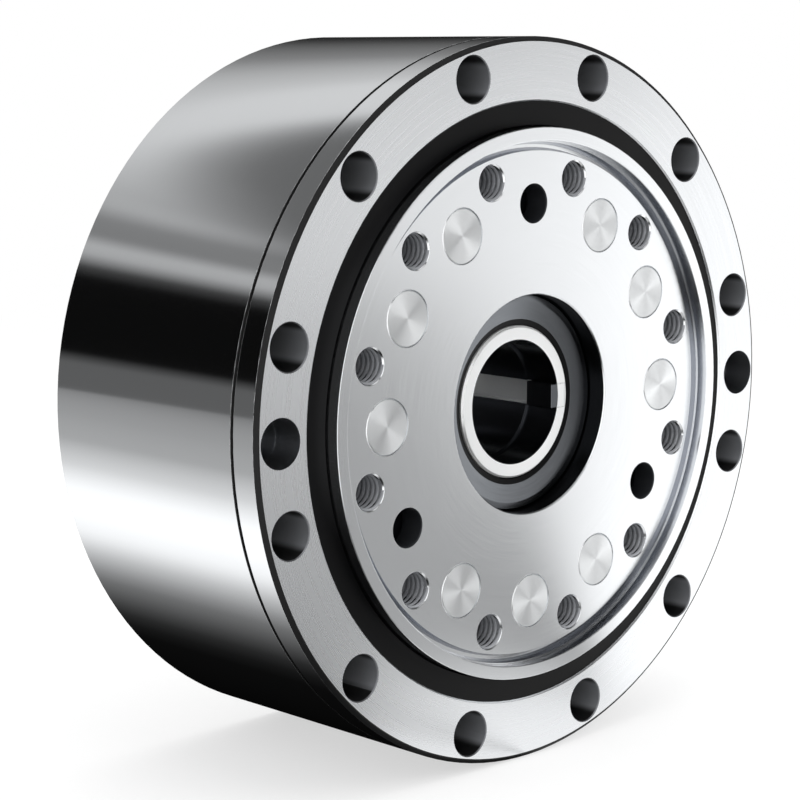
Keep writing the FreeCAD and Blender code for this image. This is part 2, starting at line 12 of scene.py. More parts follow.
import bpy
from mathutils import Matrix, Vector


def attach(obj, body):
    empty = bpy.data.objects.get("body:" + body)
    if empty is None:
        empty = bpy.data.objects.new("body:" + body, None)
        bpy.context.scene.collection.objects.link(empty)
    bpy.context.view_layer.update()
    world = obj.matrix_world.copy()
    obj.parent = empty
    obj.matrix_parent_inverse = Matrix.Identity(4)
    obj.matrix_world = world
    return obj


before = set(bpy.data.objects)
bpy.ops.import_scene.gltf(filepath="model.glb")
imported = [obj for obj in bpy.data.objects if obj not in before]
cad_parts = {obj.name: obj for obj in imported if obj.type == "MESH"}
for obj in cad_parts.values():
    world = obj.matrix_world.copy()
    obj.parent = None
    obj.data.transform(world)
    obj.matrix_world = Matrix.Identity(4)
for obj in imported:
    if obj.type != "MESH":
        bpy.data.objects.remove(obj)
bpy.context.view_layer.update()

LOG = logging.getLogger("reducer")

MM = 0.001
# The near-black of the painted shade on the walls of shaded holes.
PAINTED_SHADE_BLACK = "050506"

Colour = tuple[float, float, float, float]


def linear(colour: str) -> Colour:
    """Turns an sRGB hex colour into the linear values that a shader takes.

    Args:
        colour: Six hex digits, such as "C8CCD0".

    Returns:
        Red, green, blue and an alpha of 1.
    """
    shares = [int(colour[i:i + 2], 16) / 255 for i in (0, 2, 4)]
    red, green, blue = [s / 12.92 if s <= 0.04045 else ((s + 0.055) / 1.055) ** 2.4 for s in shares]
    return (red, green, blue, 1.0)


def add_node(
    tree: bpy.types.NodeTree,
    kind: str,
    settings: dict | None = None,
    inputs: dict | None = None,
) -> bpy.types.Node:
    """Adds a node to a tree, with its settings and its links.

    Args:
        tree: The node tree that gets the node.
        kind: Blender's name for the kind of node.
        settings: Properties of the node by name.
        inputs: A value, or the output socket to link, for each input by name or number.

    Returns:
        The new node.
    """
    node = tree.nodes.new(kind)
    for name, value in (settings or {}).items():
        setattr(node, name, value)
    for name, value in (inputs or {}).items():
        if isinstance(value, bpy.types.NodeSocket):
            tree.links.new(value, node.inputs[name])
        else:
            node.inputs[name].default_value = value
    return node


class Turning(Enum):
    """Which centres the marks of a tool go round: how many, on what circle, and from what angle.

    The carrier pins share their circle with the three clamp screws.
    """

    REDUCER_AXIS = (0, 0.0, 0.0)
    CARRIER_PINS = (12, 40.0, 0.0)
    TAPPED_HOLES = (12, 46.0, 15.0)
    RING_PINS = (30, 55.0, 0.0)
    CASE_HOLES = (12, 66.5, 15.0)
    WIDE_HOLES = (2, 66.5, 0.0)

    def __init__(self, count: int, circle_mm: float, first_degrees: float) -> None:
        """Keeps the values of a member under their names.

        Args:
            count: How many centres there are, or 0 for the reducer's axis alone.
            circle_mm: The radius of their circle, in millimetres.
            first_degrees: The angle of the first one, from +X towards +Z.
        """
        self.count = count
        self.circle = circle_mm * MM
        self.first = math.radians(first_degrees)


@dataclass(frozen=True)
class Polar:
    """Sockets that say where a point lies about the centre of its tool marks."""

    radius: bpy.types.NodeSocket
    outward: bpy.types.NodeSocket
    across: bpy.types.NodeSocket
    height: bpy.types.NodeSocket
    facing: bpy.types.NodeSocket


def polar_nodes(tree: bpy.types.NodeTree, turning: Turning) -> Polar:
    """Adds the nodes that turn Object coordinates into coordinates about a tool's centre.

    Args:
        tree: The material's node tree.
        turning: The centre, or circle of centres, that the marks go round.

    Returns:
        The sockets of the new coordinates.
    """
    place = add_node(tree, "ShaderNodeTexCoord")
    split = add_node(tree, "ShaderNodeSeparateXYZ", None, {0: place.outputs["Object"]})
    x, y, z = split.outputs
    if turning.count:
        step = 2 * math.pi / turning.count
        angle = add_node(tree, "ShaderNodeMath", {"operation": "ARCTAN2"}, {0: z, 1: x})
        shifted = add_node(
            tree, "ShaderNodeMath", {"operation": "SUBTRACT"},
            {0: angle.outputs[0], 1: turning.first},
        )
        share = add_node(
            tree, "ShaderNodeMath", {"operation": "DIVIDE"},
            {0: shifted.outputs[0], 1: step},
        )
        whole = add_node(tree, "ShaderNodeMath", {"operation": "ROUND"}, {0: share.outputs[0]})
        nearest = add_node(
            tree, "ShaderNodeMath", {"operation": "MULTIPLY_ADD"},
            {0: whole.outputs[0], 1: step, 2: turning.first},
        )
        cosine = add_node(tree, "ShaderNodeMath", {"operation": "COSINE"}, {0: nearest.outputs[0]})
        sine = add_node(tree, "ShaderNodeMath", {"operation": "SINE"}, {0: nearest.outputs[0]})
        x = add_node(
            tree, "ShaderNodeMath", {"operation": "MULTIPLY_ADD"},
            {0: cosine.outputs[0], 1: -turning.circle, 2: x},
        ).outputs[0]
        z = add_node(
            tree, "ShaderNodeMath", {"operation": "MULTIPLY_ADD"},
            {0: sine.outputs[0], 1: -turning.circle, 2: z},
        ).outputs[0]
    flat = add_node(tree, "ShaderNodeCombineXYZ", None, {0: x, 2: z})
    radius = add_node(tree, "ShaderNodeVectorMath", {"operation": "LENGTH"}, {0: flat.outputs[0]})
    outward = add_node(tree, "ShaderNodeVectorMath", {"operation": "NORMALIZE"}, {0: flat.outputs[0]})
    normal = add_node(tree, "ShaderNodeSeparateXYZ", None, {0: place.outputs["Normal"]})
    facing = add_node(tree, "ShaderNodeMath", {"operation": "ABSOLUTE"}, {0: normal.outputs[1]})
    across = add_node(
        tree, "ShaderNodeMix", {"data_type": "VECTOR"},
        {0: facing.outputs[0], 4: (0.0, 1.0, 0.0), 5: outward.outputs[0]},
    )
    return Polar(radius.outputs["Value"], outward.outputs[0], across.outputs[1], y, facing.outputs[0])


def surface(tree: bpy.types.NodeTree, inputs: dict) -> None:
    """Adds a Principled shader and joins it to the material's output.

    Args:
        tree: The material's node tree.
        inputs: Values or sockets for the shader.
    """
    shader = add_node(tree, "ShaderNodeBsdfPrincipled", None, inputs)
    add_node(tree, "ShaderNodeOutputMaterial", None, {"Surface": shader.outputs[0]})


def empty_material(name: str) -> bpy.types.Material:
    """Makes a material with an empty node tree.

    Args:
        name: The finish's name.

    Returns:
        The material.
    """
    material = bpy.data.materials.new(name)
    material.use_nodes = True
    material.node_tree.nodes.clear()
    return material


@dataclass(frozen=True)
class Passage:
    """A soft change from one value to another, between two marks along a measure."""

    start: float
    end: float

    def blend(
        self,
        tree: bpy.types.NodeTree,
        measure: bpy.types.NodeSocket,
        before: bpy.types.NodeSocket | float,
        after: bpy.types.NodeSocket | float,
    ) -> bpy.types.NodeSocket:
        """Adds the nodes of the change.

        Args:
            tree: The material's node tree.
            measure: The socket that the change follows.
            before: The value up to the start.
            after: The value from the end on.

        Returns:
            The value's socket.
        """
        share = add_node(
            tree, "ShaderNodeMapRange", {"interpolation_type": "SMOOTHSTEP"},
            {"Value": measure, "From Min": self.start, "From Max": self.end},
        )
        return add_node(tree, "ShaderNodeMix", None, {0: share.outputs[0], 2: before, 3: after}).outputs[0]


@dataclass(frozen=True)
class DullWall:
    """The dull wall of a hole or groove, which the polishing of the outside didn't reach.

    It lies between the inner radius and the radius round its centres, where the surface faces
    along the axis by less than the facing. A shaded one has painted shade, near-black, on its walls above
    and below.
    """

    centres: Turning
    radius: float
    colour: str
    metallic: float
    roughness: float
    inner: float = 0.0
    facing: float = 0.5
    shaded: bool = False
    # Where the painted shade starts and where it is full, by how far the wall's normal points up or down.
    painted_shade_edge: Passage = Passage(0.5, 0.8)

    def share(self, tree: bpy.types.NodeTree) -> bpy.types.NodeSocket:
        """Adds the nodes that tell these walls from the rest.

        Args:
            tree: The material's node tree.

        Returns:
            A socket that is 1 on the walls and 0 elsewhere.
        """
        polar = polar_nodes(tree, self.centres)
        wall = None
        for measure, side, limit in (
            (polar.radius, "LESS_THAN", self.radius),
            (polar.radius, "GREATER_THAN", self.inner),
            (polar.facing, "LESS_THAN", self.facing),
        ):
            part = add_node(tree, "ShaderNodeMath", {"operation": side}, {0: measure, 1: limit})
            if wall is not None:
                part = add_node(
                    tree, "ShaderNodeMath", {"operation": "MULTIPLY"},
                    {0: wall.outputs[0], 1: part.outputs[0]},
                )
            wall = part
        return wall.outputs[0]

    def tone(self, tree: bpy.types.NodeTree) -> bpy.types.NodeSocket | Colour:
        """Gives the wall's colour, with painted shade, near-black, on its sides above and below where it is
        shaded.

        Args:
            tree: The material's node tree.

        Returns:
            A colour, or the socket that gives it.
        """
        if not self.shaded:
            return linear(self.colour)
        place = add_node(tree, "ShaderNodeTexCoord")
        normal = add_node(tree, "ShaderNodeSeparateXYZ", None, {0: place.outputs["Normal"]})
        upward = add_node(tree, "ShaderNodeMath", {"operation": "ABSOLUTE"}, {0: normal.outputs[2]})
        # Painted shade: the wall goes near-black where it faces up or down.
        painted_shade = self.painted_shade_edge.blend(tree, upward.outputs[0], 0.0, 1.0)
        return add_node(
            tree, "ShaderNodeMix", {"data_type": "RGBA"},
            {0: painted_shade, 6: linear(self.colour), 7: linear(PAINTED_SHADE_BLACK)},
        ).outputs[2]


@dataclass(frozen=True)
class TurnedSteel:
    """Steel that was turned or ground about a centre: fine rings on faces, fine hoops on sides.

    Real marks are 0.05 to 0.1 mm apart, too fine to show, so they are drawn wider apart.
    """

    name: str
    colour: str
    face_roughness: float
    side_roughness: float
    turning: Turning = Turning.REDUCER_AXIS
    anisotropy: float = 0.5
    mark_spacing: float = 0.35 * MM
    mark_depth: float = 0.0008 * MM
    mark_share: float = 0.02
    edge_radius: float = 0.12 * MM
    metallic: float = 1.0
    cross_marks: float = 0.0
    walls: tuple[DullWall, ...] = ()
    # How often a mark changes on its way round, and the patches of wear per metre.
    changes: float = 3.0
    patches: float = 45.0
    # Where a side turns into a face, by how far the surface faces along the axis.
    face_edge: Passage = Passage(0.45, 0.8)
    # The part of the noise that the marks use, and how much more they change the roughness
    # than the colour.
    mark_range: tuple[float, float] = (0.3, 0.7)
    mark_gain: float = 4.0

    def marks(self, tree: bpy.types.NodeTree, polar: Polar) -> bpy.types.NodeSocket:
        """Adds the marks of the tool: noise that hardly changes on its way round the centre.

        Args:
            tree: The material's node tree.
            polar: The coordinates about the centre.

        Returns:
            The socket of the marks' height, from 0 to 1.
        """
        scale = 1 / self.mark_spacing
        rise = add_node(tree, "ShaderNodeMath", {"operation": "MULTIPLY"}, {0: polar.height, 1: scale})
        reach = add_node(tree, "ShaderNodeMath", {"operation": "MULTIPLY"}, {0: polar.radius, 1: scale})
        slow = add_node(
            tree, "ShaderNodeVectorMath", {"operation": "SCALE"},
            {0: polar.outward, "Scale": self.changes},
        )
        lift = add_node(tree, "ShaderNodeCombineXYZ", None, {1: rise.outputs[0]})
        spot = add_node(
            tree, "ShaderNodeVectorMath", {"operation": "ADD"},
            {0: slow.outputs[0], 1: lift.outputs[0]},
        )
        return add_node(
            tree, "ShaderNodeTexNoise", {"noise_dimensions": "4D"},
            {
                "Vector": spot.outputs[0], "W": reach.outputs[0],
                "Scale": 1.0, "Detail": 2.0, "Roughness": 0.6,
            },
        ).outputs["Fac"]

    def walled(self, tree: bpy.types.NodeTree, polished: dict) -> dict:
        """Lays the looks of the dull walls over those of the polished rest.

        Args:
            tree: The material's node tree.
            polished: The shader's colour, metallic and roughness outside the walls.

        Returns:
            The same three inputs, with the walls in them.
        """
        looks = dict(polished)
        for wall in self.walls:
            inside = wall.share(tree)
            looks["Base Color"] = add_node(
                tree, "ShaderNodeMix", {"data_type": "RGBA"},
                {0: inside, 6: looks["Base Color"], 7: wall.tone(tree)},
            ).outputs[2]
            for name, value in (("Metallic", wall.metallic), ("Roughness", wall.roughness)):
                looks[name] = add_node(
                    tree, "ShaderNodeMix", None,
                    {0: inside, 2: looks[name], 3: value},
                ).outputs[0]
        return looks

    def material(self) -> bpy.types.Material:
        """Builds the finish as a Blender material.

        Returns:
            The material.
        """
        material = empty_material(self.name)
        tree = material.node_tree
        polar = polar_nodes(tree, self.turning)
        marks = self.marks(tree, polar)
        place = add_node(tree, "ShaderNodeTexCoord")
        cloud = add_node(
            tree, "ShaderNodeTexNoise", None,
            {"Vector": place.outputs["Object"], "Scale": self.patches, "Detail": 3.0, "Roughness": 0.55},
        )
        base = self.face_edge.blend(tree, polar.facing, self.side_roughness, self.face_roughness)
        swing = self.mark_gain * self.mark_share
        uneven = add_node(
            tree, "ShaderNodeMapRange", None,
            {
                "Value": marks,
                "From Min": self.mark_range[0], "From Max": self.mark_range[1],
                "To Min": 1 - swing, "To Max": 1 + swing,
            },
        )
        rough = add_node(tree, "ShaderNodeMath", {"operation": "MULTIPLY"}, {0: base, 1: uneven.outputs[0]})
        full = linear(self.colour)
        worn = tuple(c * (1 - self.mark_share) for c in full[:3]) + (1.0,)
        tone = add_node(
            tree, "ShaderNodeMix", {"data_type": "RGBA"},
            {0: cloud.outputs["Fac"], 6: full, 7: worn},
        )
        edge = add_node(tree, "ShaderNodeBevel", {"samples": 4}, {"Radius": self.edge_radius})
        bump = add_node(
            tree, "ShaderNodeBump", None,
            {
                "Height": marks, "Distance": self.mark_depth, "Strength": 1.0,
                "Normal": edge.outputs[0],
            },
        )
        polished = {"Base Color": tone.outputs[2], "Metallic": self.metallic, "Roughness": rough.outputs[0]}
        surface(tree, {
            **self.walled(tree, polished),
            "Anisotropic": self.anisotropy,
            "Anisotropic Rotation": self.cross_marks,
            "Tangent": polar.across,
            "Normal": bump.outputs[0],
        })
        return material


@dataclass(frozen=True)
class MouldedRubber:
    """Nitrile rubber as a seal has it: black, slightly waxy, with a fine moulded grain."""

    name: str
    colour: str
    roughness: float
    grain: float = 0.35 * MM
    grain_depth: float = 0.01 * MM
    # The wax that blooms on it: patches per metre, how far it goes, and how pale it makes black.
    blooms: float = 60.0
    bloom_swing: float = 0.2
    bloom_gain: float = 2.0
    bloom_lift: float = 0.0004

    def material(self) -> bpy.types.Material:
        """Builds the finish as a Blender material.

        Returns:
            The material.
        """
        material = empty_material(self.name)
        tree = material.node_tree
        place = add_node(tree, "ShaderNodeTexCoord")
        grain = add_node(
            tree, "ShaderNodeTexNoise", None,
            {"Vector": place.outputs["Object"], "Scale": 1 / self.grain, "Detail": 4.0, "Roughness": 0.6},
        )
        bloom = add_node(
            tree, "ShaderNodeTexNoise", None,
            {"Vector": place.outputs["Object"], "Scale": self.blooms, "Detail": 2.0},
        )
        rough = add_node(
            tree, "ShaderNodeMapRange", None,
            {
                "Value": bloom.outputs["Fac"],
                "To Min": self.roughness * (1 - self.bloom_swing),
                "To Max": self.roughness * (1 + self.bloom_swing),
            },
        )
        dark = linear(self.colour)
        pale = tuple(min(1.0, c * self.bloom_gain + self.bloom_lift) for c in dark[:3]) + (1.0,)
        tone = add_node(
            tree, "ShaderNodeMix", {"data_type": "RGBA"},
            {0: bloom.outputs["Fac"], 6: dark, 7: pale},
        )
        bump = add_node(
            tree, "ShaderNodeBump", None,
            {"Height": grain.outputs["Fac"], "Distance": self.grain_depth, "Strength": 1.0},
        )
        surface(tree, {
            "Base Color": tone.outputs[2],
            "Roughness": rough.outputs[0],
            "IOR": 1.52,
            "Specular IOR Level": 0.15,
            "Normal": bump.outputs[0],
        })
        return material


@dataclass(frozen=True)
class MouldedPlastic:
    """Glass-filled polyamide, as a bearing cage has it: dull, with short pale fibres in it."""

    name: str
    colour: str
    roughness: float
    fibre: float = 0.6 * MM
    fibre_depth: float = 0.01 * MM
    # How much shorter the pattern is drawn along the axis, and how far the fibres change it.
    stretch: float = 0.25
    fibre_swing: float = 0.15
    fibre_gain: float = 1.25

    def material(self) -> bpy.types.Material:
        """Builds the finish as a Blender material.

        Returns:
            The material.
        """
        material = empty_material(self.name)
        tree = material.node_tree
        place = add_node(tree, "ShaderNodeTexCoord")
        stretch = add_node(
            tree, "ShaderNodeMapping", None,
            {"Vector": place.outputs["Object"], "Scale": (1.0, self.stretch, 1.0)},
        )
        fibres = add_node(
            tree, "ShaderNodeTexNoise", None,
            {"Vector": stretch.outputs[0], "Scale": 1 / self.fibre, "Detail": 3.0, "Roughness": 0.65},
        )
        dark = linear(self.colour)
        pale = tuple(min(1.0, c * self.fibre_gain) for c in dark[:3]) + (1.0,)
        tone = add_node(
            tree, "ShaderNodeMix", {"data_type": "RGBA"},
            {0: fibres.outputs["Fac"], 6: dark, 7: pale},
        )
        rough = add_node(
            tree, "ShaderNodeMapRange", None,
            {
                "Value": fibres.outputs["Fac"],
                "To Min": self.roughness * (1 - self.fibre_swing),
                "To Max": self.roughness * (1 + self.fibre_swing),
            },
        )
        bump = add_node(
            tree, "ShaderNodeBump", None,
            {"Height": fibres.outputs["Fac"], "Distance": self.fibre_depth, "Strength": 1.0},
        )
        surface(tree, {
            "Base Color": tone.outputs[2],
            "Roughness": rough.outputs[0],
            "IOR": 1.53,
            "Normal": bump.outputs[0],
        })
        return material


Finish = TurnedSteel | MouldedRubber | MouldedPlastic

# Ground and polished case steel: a bright mirror on the outside and finely turned faces.
# Its bolt holes are as drilled, with painted shade on their walls above and below, and the
# edges and the joint between ring and housing are painted near-black as painted shade.
CASE_STEEL = TurnedSteel(
    "ground_case_steel", "ECEEF0", face_roughness=0.28, side_roughness=0.08,
    mark_depth=0.0005 * MM,
    walls=(
        # Painted shade: the bolt holes' walls go near-black above and below.
        DullWall(
            Turning.CASE_HOLES, radius=4.9 * MM, colour="84868A", metallic=0.1, roughness=0.6,
            facing=0.9, shaded=True,
        ),
        DullWall(
            Turning.WIDE_HOLES, radius=5.1 * MM, colour="BABCC0", metallic=1.0, roughness=0.3,
            facing=0.9,
        ),
        # Painted shade: the edges and the joint of the case, just inside its outer radius, painted
        # near-black.
        DullWall(
            Turning.REDUCER_AXIS, radius=72.47 * MM, colour="0A0A0B", metallic=0.0, roughness=0.7,
            inner=71.5 * MM, facing=1.1,
        ),
    ),
)
# Turned flange steel: even grey-white faces with a soft radial sheen. The tapped holes, the
# screw holes and the hub's bore are dull, the tapped holes with painted shade on their walls
# above and below, and the raised rim's inside is smoother than the face.
FLANGE_STEEL = TurnedSteel(
    "turned_flange_steel", "E9EBED", face_roughness=0.2, side_roughness=0.16,
    walls=(
        # Painted shade: the tapped holes' walls go near-black above and below.
        DullWall(
            Turning.TAPPED_HOLES, radius=3.65 * MM, colour="A4A6AA", metallic=0.3, roughness=0.5,
            shaded=True,
        ),
        DullWall(
            Turning.CARRIER_PINS, radius=5.0 * MM, colour="303236", metallic=0.5, roughness=0.5,
            facing=0.9,
        ),
        DullWall(
            Turning.REDUCER_AXIS, radius=22.6 * MM, colour="2A2B2D", metallic=1.0, roughness=0.25,
        ),
        DullWall(
            Turning.REDUCER_AXIS, radius=52.75 * MM, colour="CED0D4", metallic=1.0, roughness=0.16,
            inner=50.0 * MM,
        ),
    ),
)
# The flanks of the tapped threads: cut metal with dark cutting oil in it.
THREAD_STEEL = TurnedSteel(
    "tapped_thread_steel", "B4B6BA", face_roughness=0.4, side_roughness=0.4,
    turning=Turning.TAPPED_HOLES, anisotropy=0.2, metallic=0.3,
)
# Hardened bearing steel, ground and honed: bright and smooth.
BEARING_STEEL = TurnedSteel(
    "honed_bearing_steel", "DADCDE", face_roughness=0.2, side_roughness=0.12,
)
# Ground pin ends: marks from each pin's own centre outward throw a bow-tie of light.
PIN_STEEL = TurnedSteel(
    "ground_pin_steel", "F6F8F9", face_roughness=0.36, side_roughness=0.12,
    turning=Turning.CARRIER_PINS, anisotropy=0.92, cross_marks=0.125,
)
# Loose needle pins in the housing, ground.
RING_PIN_STEEL = TurnedSteel(
    "ground_ring_pin_steel", "DADCDE", face_roughness=0.2, side_roughness=0.1,
    turning=Turning.RING_PINS,
)
# Satin chrome on the shaft: whiter than the ground steel round it, with a darker bore.
SHAFT_STEEL = TurnedSteel(
    "satin_chrome_steel", "FDFEFE", face_roughness=0.3, side_roughness=0.18, metallic=0.45,
    walls=(
        DullWall(
            Turning.REDUCER_AXIS, radius=12.62 * MM, colour="5C5E62", metallic=1.0, roughness=0.22,
            facing=1.1,
        ),
    ),
)
# Hardened disc steel with the faint straw of its heat treatment.
DISC_STEEL = TurnedSteel(
    "hardened_disc_steel", "C9C6BF", face_roughness=0.28, side_roughness=0.16,
)
# Black oxide on alloy screw steel: dark, oily and a little rough.
SCREW_STEEL = TurnedSteel(
    "black_oxide_steel", "33353A", face_roughness=0.36, side_roughness=0.4,
    turning=Turning.CARRIER_PINS, anisotropy=0.2,
)
# Pressed seal case, phosphated and oiled: a dark grey metal with a soft gloss.
SEAL_CASE_STEEL = TurnedSteel(
    "phosphated_steel", "76797D", face_roughness=0.22, side_roughness=0.2,
    anisotropy=0.6, mark_share=0.05,
)
# Black nitrile rubber of the lip seals.
SEAL_RUBBER = MouldedRubber("nitrile_rubber", "020203", roughness=0.4)
# Glass-filled polyamide of the bearing cages: dull and straw-coloured.
CAGE_PLASTIC = MouldedPlastic("glass_filled_polyamide", "B9AC8C", roughness=0.5)


class Tool:
    """Blender's modelling operators, as the sub-assemblies below use them."""

    @staticmethod
    def clear() -> None:
        """Leaves edit mode and selects nothing."""
        if bpy.context.object and bpy.context.object.mode != "OBJECT":
            bpy.ops.object.mode_set(mode="OBJECT")
        bpy.ops.object.select_all(action="DESELECT")

    @staticmethod
    def take(piece: bpy.types.Object) -> None:
        """Makes one object the only selected and active one.

        Args:
            piece: The object to select.
        """
        Tool.clear()
        piece.select_set(True)
        bpy.context.view_layer.objects.active = piece

    @staticmethod
    def copy(piece: bpy.types.Object, name: str) -> bpy.types.Object:
        """Copies a piece together with its mesh.

        Args:
            piece: The piece to copy.
            name: The copy's name.

        Returns:
            The copy.
        """
        Tool.take(piece)
        bpy.ops.object.duplicate(linked=False)
        twin = bpy.context.object
        twin.name = name
        return twin

    @staticmethod
    def smooth(piece: bpy.types.Object, angle: float) -> None:
        """Shades a piece smooth across edges up to an angle.

        Args:
            piece: The piece to shade.
            angle: The largest angle between two smooth faces, in degrees.
        """
        Tool.take(piece)
        bpy.ops.object.shade_smooth_by_angle(angle=math.radians(angle))


@dataclass
class TappedThreads:
    """The thread flanks inside the twelve tapped holes of the output face, M8 by 1.25 mm."""

    holes: Turning = Turning.TAPPED_HOLES
    # The core hole's radius, and the height of the rib in it.
    core: float = 3.4 * MM
    crest: float = 0.22 * MM
    pitch: float = 1.25 * MM
    # How deep the first turn lies, how many turns there are, and how many steps each has.
    start: float = 0.45 * MM
    turns: int = 9
    steps: int = 28
    # How far the rib's foot is sunk into the hole's wall.
    sunk: float = 0.03 * MM
    # The rib's foot as a share of the pitch, and its crest as a share of the foot.
    foot_share: float = 0.86
    crest_share: float = 0.2
    smooth_angle: float = 40.0

    def rib(self) -> bpy.types.Object:
        """Models one thread about the reducer's axis.

        Returns:
            The thread as a closed mesh.
        """
        Tool.clear()
        middle = self.core + self.sunk - self.crest / 2
        bpy.ops.mesh.primitive_plane_add(size=1.0, location=(middle, self.start, 0))
        rib = bpy.context.object
        rib.name = "tapped_thread_00"
        bpy.ops.object.mode_set(mode="EDIT")
        width = self.crest + 2 * self.sunk
        foot = self.pitch * self.foot_share
        bpy.ops.transform.resize(value=(width, foot, 1.0))
        bpy.ops.mesh.select_all(action="DESELECT")
        bpy.ops.object.mode_set(mode="OBJECT")
        # The side nearer the hole's axis is the crest.
        for vertex in rib.data.vertices:
            vertex.select = vertex.co.x < 0
        bpy.ops.object.mode_set(mode="EDIT")
        bpy.ops.transform.resize(value=(1.0, self.crest_share, 1.0))
        bpy.ops.mesh.select_all(action="SELECT")
        bpy.ops.mesh.delete(type="ONLY_FACE")
        bpy.ops.object.mode_set(mode="OBJECT")
        bpy.ops.object.transform_apply(location=True, rotation=True, scale=True)
        screw = rib.modifiers.new("helix", "SCREW")
        screw.axis = "Y"
        screw.screw_offset = self.pitch
        screw.iterations = self.turns
        screw.steps = self.steps
        screw.render_steps = self.steps
        screw.use_merge_vertices = False
        bpy.ops.object.modifier_apply(modifier=screw.name)
        bpy.ops.object.mode_set(mode="EDIT")
        bpy.ops.mesh.select_all(action="SELECT")
        # Only the two ends of the rib are open, with four sides each.
        bpy.ops.mesh.fill_holes(sides=4)
        bpy.ops.mesh.select_all(action="SELECT")
        bpy.ops.mesh.normals_make_consistent(inside=False)
        bpy.ops.object.mode_set(mode="OBJECT")
        Tool.smooth(rib, self.smooth_angle)
        return rib

    def build(self) -> None:
        """Models one thread and copies it into every tapped hole."""
        first = self.rib()
        count, circle = self.holes.count, self.holes.circle
        threads = [first] + [Tool.copy(first, f"tapped_thread_{i:02d}") for i in range(1, count)]
        for i, thread in enumerate(threads):
            turn = self.holes.first + 2 * math.pi * i / count
            Tool.take(thread)
            thread.location = (circle * math.cos(turn), 0, circle * math.sin(turn))
            bpy.ops.object.transform_apply(location=True, rotation=False, scale=False)
        material = THREAD_STEEL.material()
        for thread in threads:
            thread.data.materials.append(material)
            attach(thread, "output_carrier")
            LOG.info("%s: %s", thread.name, THREAD_STEEL.name)


@dataclass
class CadFinishes:
    """The finishes of the CAD nodes, by the sub-assembly that each node is in."""

    groups: dict[Finish, list[str]] = field(default_factory=lambda: {
        CASE_STEEL: ["front_ring", "pin_housing"],
        FLANGE_STEEL: ["output_flange", "rear_flange"],
        BEARING_STEEL: [
            "front_bearing_cup", "rear_bearing_cup", "front_bearing_cone", "rear_bearing_cone",
            "front_bearing_rollers", "rear_bearing_rollers", "front_pin_washer", "rear_pin_washer",
            "front_input_outer_ring", "rear_input_outer_ring", "front_input_inner_ring",
            "rear_input_inner_ring", "front_input_rollers", "rear_input_rollers",
            "eccentric_race_a", "eccentric_race_b", "eccentric_rollers_a", "eccentric_rollers_b",
        ],
        PIN_STEEL: ["carrier_pins", "pin_bushes", "clamp_spacers"],
        RING_PIN_STEEL: ["ring_pins"],
        SHAFT_STEEL: ["input_shaft", "shaft_key"],
        SEAL_CASE_STEEL: ["front_hub_seal_case", "rear_hub_seal_case"],
        DISC_STEEL: ["cycloid_disc_a", "cycloid_disc_b"],
        SCREW_STEEL: ["clamp_screws"],
        SEAL_RUBBER: [
            "output_seal", "rear_seal", "front_input_seals", "rear_input_seals",
            "front_hub_seal_lip", "rear_hub_seal_lip",
        ],
        CAGE_PLASTIC: [
            "front_bearing_cage", "rear_bearing_cage", "front_input_cage", "rear_input_cage",
            "eccentric_cage_a", "eccentric_cage_b",
        ],
    })

    def dress(self, nodes: dict[str, bpy.types.Object]) -> None:
        """Gives each CAD node its finish.

        Args:
            nodes: The CAD nodes by name.
        """
        for finish, names in self.groups.items():
            material = finish.material()
            for name in names:
                for slot in nodes[name].material_slots:
                    slot.material = material
                LOG.info("%s: %s", name, finish.name)


@dataclass(frozen=True)
class Fade:
    """A row of grey levels along one measure, which a colour ramp holds."""

    low: float
    high: float
    stops: tuple[tuple[float, float], ...]

    def grey(self, tree: bpy.types.NodeTree, measure: bpy.types.NodeSocket) -> bpy.types.NodeSocket:
        """Adds the ramp to a tree.

        Args:
            tree: The material's node tree.
            measure: The socket that the levels follow.

        Returns:
            The grey level's socket.
        """
        span = self.high - self.low
        share = add_node(
            tree, "ShaderNodeMapRange", None,
            {"Value": measure, "From Min": self.low, "From Max": self.high},
        )
        ramp = add_node(tree, "ShaderNodeValToRGB", None, {0: share.outputs[0]})
        elements = ramp.color_ramp.elements
        # Each new stop starts halfway, and gets its own place below.
        while len(elements) < len(self.stops):
            elements.new(0.5)
        for element, (place, grey) in zip(elements, self.stops):
            element.position = (place - self.low) / span
            element.color = (grey, grey, grey, 1.0)
        return ramp.outputs[0]


class Measure(Enum):
    """What tells one place on the tent's cloth from another."""

    ANGLE = "radians round the tent's middle, from +X towards +Y"
    BEARING = "the same in degrees"
    AWAY = "metres from the middle, seen from above"
    SLOPE = "height over the tent's radius"


Measures = dict[Measure, bpy.types.NodeSocket]


@dataclass(frozen=True)
class Cloth:
    """Sockets that say where a point of the tent's cloth lies, and whether it is on the wall."""

    x: bpy.types.NodeSocket
    y: bpy.types.NodeSocket
    on_wall: bpy.types.NodeSocket
    measures: Measures


@dataclass(frozen=True)
class Card:
    """A lit patch of the tent with soft edges: each names a measure, its outside and its inside."""

    level: float
    edges: tuple[tuple[Measure, float, float], ...]

    def lay(
        self, tree: bpy.types.NodeTree, measures: Measures, level: bpy.types.NodeSocket,
    ) -> bpy.types.NodeSocket:
        """Adds the nodes that put the patch over the cloth's level.

        Args:
            tree: The material's node tree.
            measures: The sockets that the edges go by.
            level: The cloth's level without the patch.

        Returns:
            The level's socket with the patch.
        """
        patch = None
        for measure, outside, inside in self.edges:
            edge = add_node(
                tree, "ShaderNodeMapRange", None,
                {"Value": measures[measure], "From Min": outside, "From Max": inside},
            )
            if patch is not None:
                edge = add_node(
                    tree, "ShaderNodeMath", {"operation": "MULTIPLY"},
                    {0: patch.outputs[0], 1: edge.outputs[0]},
                )
            patch = edge
        return add_node(
            tree, "ShaderNodeMix", None,
            {0: patch.outputs[0], 2: level, 3: self.level},
        ).outputs[0]


